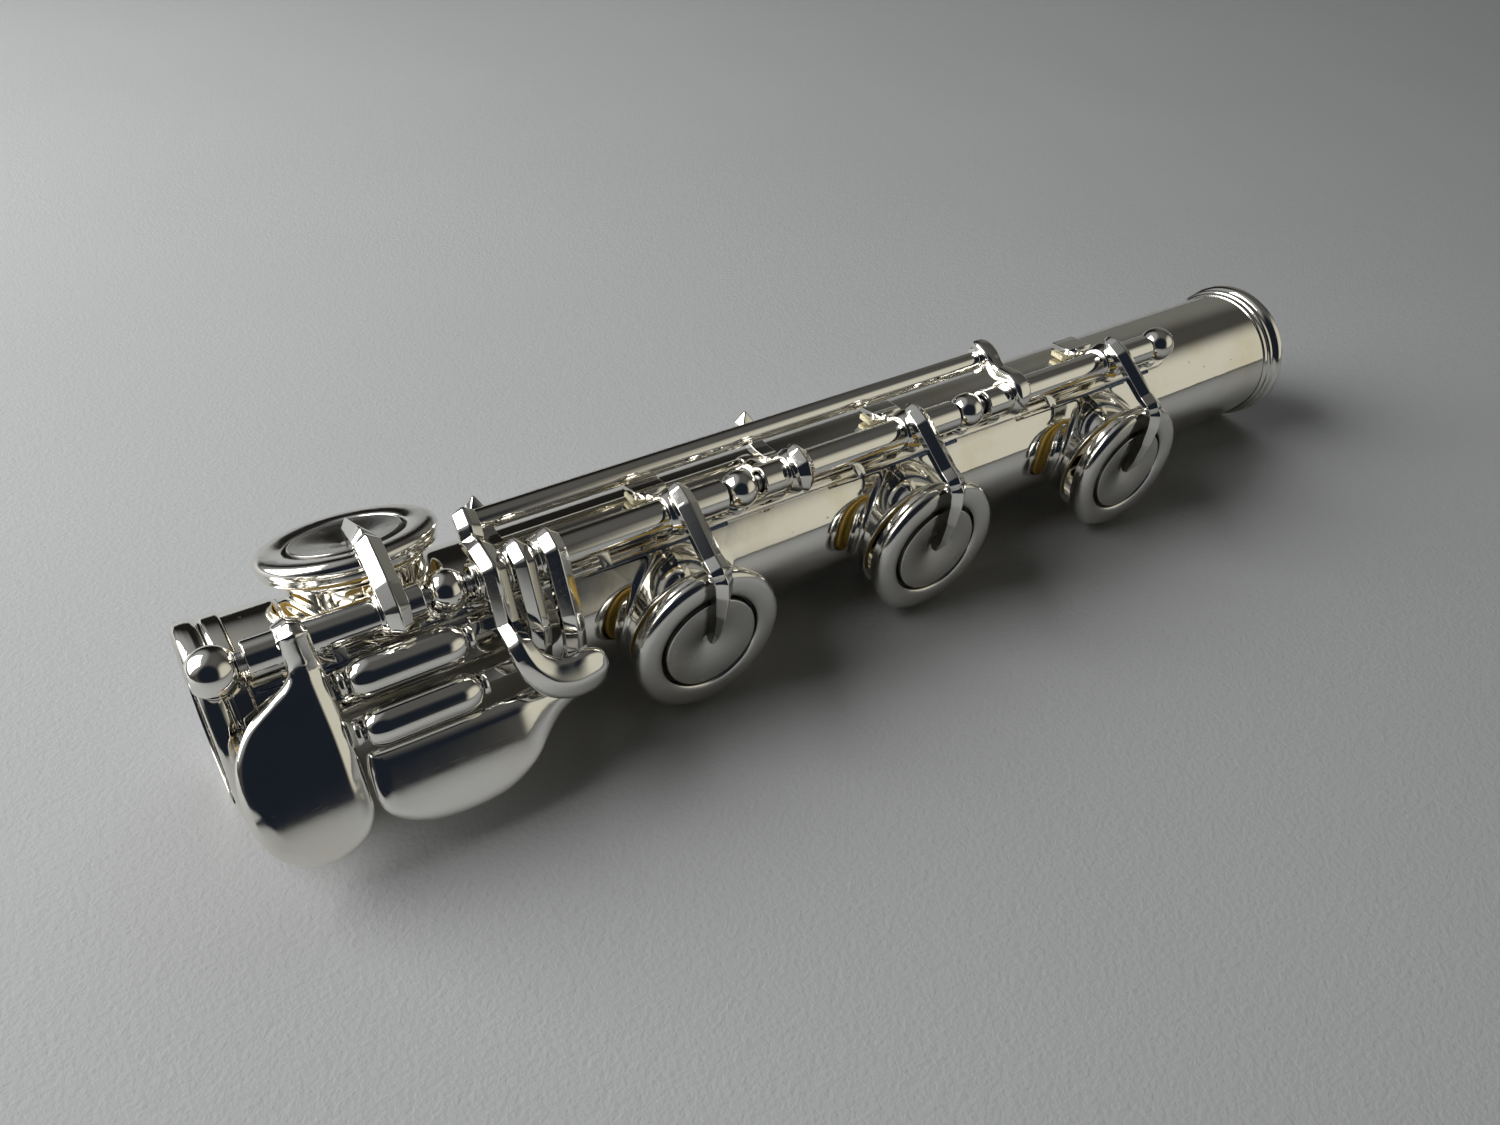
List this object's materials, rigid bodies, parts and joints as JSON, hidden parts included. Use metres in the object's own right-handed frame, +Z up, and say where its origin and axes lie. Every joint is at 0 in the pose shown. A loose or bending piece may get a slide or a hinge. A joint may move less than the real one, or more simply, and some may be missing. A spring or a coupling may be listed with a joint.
{
  "type": "flute foot joint",
  "caption": "Lower joint of a concert flute: thin metal tube with drawn tone holes, ball posts, one hinge line, sprung keys, bridge rods, rollers and pinky touches.",
  "frame": {"origin": "centre of the footprint of the bounding box, on the table plane the joint lies on", "axes": "+X along the tube from the socket to the open lower end, +Z up as the joint lies with its keys to one side"},
  "size_m": [0.1678, 0.0354, 0.0301],
  "materials": {
    "silver": "polished silver plate with light tarnish",
    "steel": "turned",
    "blued_steel": "blued",
    "pad_skin": "satin skin over felt",
    "cork": "cut cork"
  },
  "bodies": {
    "foot_body": {"foot_tube": "silver", "socket_ring": "silver", "end_ring": "silver", "post_rib": "silver", "post_1": "silver", "post_2": "silver", "post_3": "silver", "post_4": "silver", "post_5": "silver", "hinge_steel": "steel", "eb_needle_spring": "blued_steel", "cs_needle_spring": "blued_steel", "c_needle_spring": "blued_steel", "b_needle_spring": "blued_steel"},
    "e_flat_key": {"eb_key_tube": "silver", "eb_cup": "silver", "eb_pad": "pad_skin", "eb_cup_arm": "silver", "eb_touch": "silver", "eb_touch_cork": "cork"},
    "c_sharp_key": {"cs_cup": "silver", "cs_pad": "pad_skin", "cs_cup_arm": "silver", "cs_kicker": "silver", "cs_kicker_cork": "cork", "cs_key_tube": "silver", "cs_touch": "silver"},
    "c_key": {"c_cup": "silver", "c_pad": "pad_skin", "c_cup_arm": "silver", "c_kicker": "silver", "c_kicker_cork": "cork", "c_roller_pin": "steel", "c_lever_tube": "silver", "c_key_tube": "silver", "c_lever": "silver", "c_link_left": "silver", "c_link_right": "silver", "c_rod": "silver", "c_link_collar": "silver"},
    "b_key": {"b_cup": "silver", "b_pad": "pad_skin", "b_cup_arm": "silver", "b_kicker": "silver", "b_kicker_cork": "cork", "b_roller_pin": "steel", "b_lever_tube": "silver", "b_key_tube": "silver", "b_rod": "silver", "b_link": "silver", "gizmo": "silver"},
    "c_roller": {"c_roller": "silver"},
    "b_roller": {"b_roller": "silver"}
  },
  "joints": [
    {"name": "e_flat_key_hinge", "type": "hinge", "parent": "foot_body", "child": "e_flat_key", "pos_m": [0.00018, -0.00307, 0.02291], "axis": [1, 0, 0], "range_deg": [0, 10], "stiffness_Nm_per_rad": 0.02, "springref_deg": -17.19},
    {"name": "c_sharp_key_hinge", "type": "hinge", "parent": "foot_body", "child": "c_sharp_key", "pos_m": [0.00018, -0.00307, 0.02291], "axis": [1, 0, 0], "range_deg": [0, 6.5], "stiffness_Nm_per_rad": 0.02, "springref_deg": -17.19},
    {"name": "c_key_hinge", "type": "hinge", "parent": "foot_body", "child": "c_key", "pos_m": [0.00018, -0.00307, 0.02291], "axis": [1, 0, 0], "range_deg": [0, 6.5], "stiffness_Nm_per_rad": 0.02, "springref_deg": -17.19},
    {"name": "b_key_hinge", "type": "hinge", "parent": "foot_body", "child": "b_key", "pos_m": [0.00018, -0.00307, 0.02291], "axis": [1, 0, 0], "range_deg": [0, 6.5], "stiffness_Nm_per_rad": 0.02, "springref_deg": -17.19},
    {"name": "c_roller_spin", "type": "hinge", "parent": "c_key", "child": "c_roller", "pos_m": [-0.06462, -0.01051, 0.01533], "axis": [1, 0, 0], "continuous": true},
    {"name": "b_roller_spin", "type": "hinge", "parent": "b_key", "child": "b_roller", "pos_m": [-0.06462, -0.00786, 0.01992], "axis": [1, 0, 0], "continuous": true}
  ]
}
